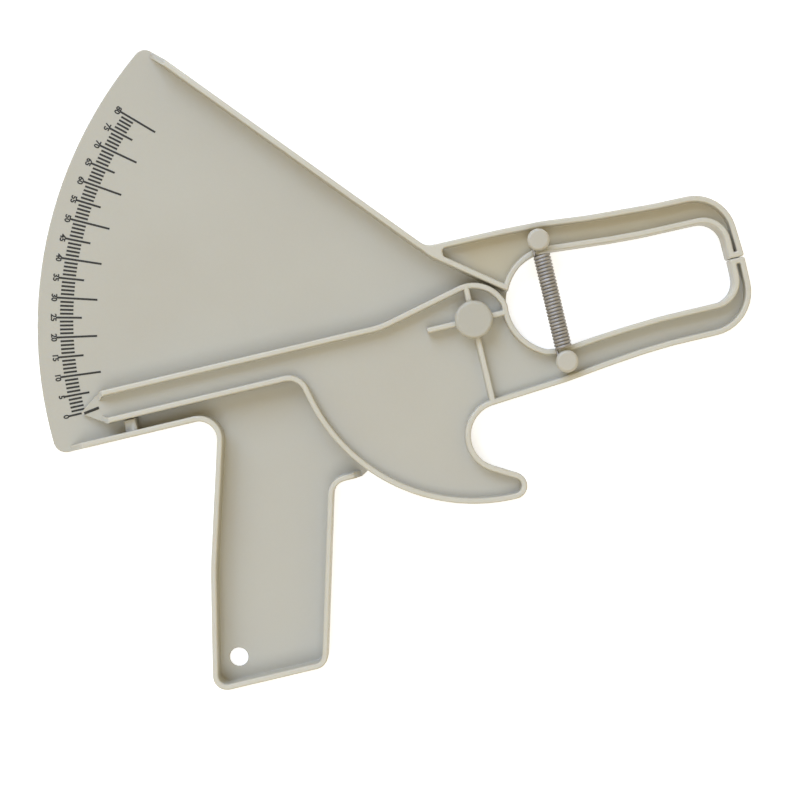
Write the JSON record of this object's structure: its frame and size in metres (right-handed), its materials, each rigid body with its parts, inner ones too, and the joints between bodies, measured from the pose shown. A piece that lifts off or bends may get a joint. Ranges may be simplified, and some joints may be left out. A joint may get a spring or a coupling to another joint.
{
  "type": "skinfold caliper",
  "caption": "Moulded plastic skinfold caliper: a scale plate with a grip and the fixed jaw, and a sprung lever that carries the pointer, the finger trigger and the moving jaw.",
  "frame": {"origin": "on the pivot axis, at the fixed body's flat back face", "axes": "+X from the pivot to the jaw tips, +Y to the high end of the scale, +Z out of the face that is read"},
  "size_m": [0.2758, 0.2482, 0.0194],
  "materials": {
    "moulding": "moulded ABS, warm grey-beige, slightly glossy",
    "white_plastic": "moulded plastic, off-white",
    "spring_steel": "drawn spring wire",
    "ink": "printed black ink"
  },
  "bodies": {
    "body": {"frame": "moulding", "pivot_washer": "white_plastic", "pivot_cap": "moulding", "upper_spring_peg": "white_plastic", "scale_one_marks": "ink", "scale_five_marks": "ink", "scale_ten_marks": "ink"},
    "lever": {"lever": "moulding", "lower_spring_peg": "white_plastic", "pointer_index_line": "ink"},
    "spring": {"spring_coil": "spring_steel"},
    "spring_end": {"spring_lower_hook": "spring_steel"}
  },
  "joints": [
    {"name": "lever_pivot", "type": "hinge", "parent": "body", "child": "lever", "pos_m": [0, 0, 0.006], "axis": [0, 0, -1], "range_deg": [0, 44], "stiffness_Nm_per_rad": 0.135, "springref_deg": -103.13},
    {"name": "spring_swing", "type": "hinge", "parent": "body", "child": "spring", "pos_m": [0.0306, 0.0237, 0.016], "axis": [0, 0, -1], "range_deg": [0, 22.1]},
    {"name": "spring_stretch", "type": "slide", "parent": "spring", "child": "spring_end", "axis": [0, -1, 0], "range_m": [0, 0.0197], "deforming": ["spring_coil"]}
  ],
  "couplings": [
    {"joint": "spring_swing", "follows": "lever_pivot", "ratio": 0.5},
    {"joint": "spring_stretch", "follows": "lever_pivot", "m_per_rad": 0.025359}
  ]
}
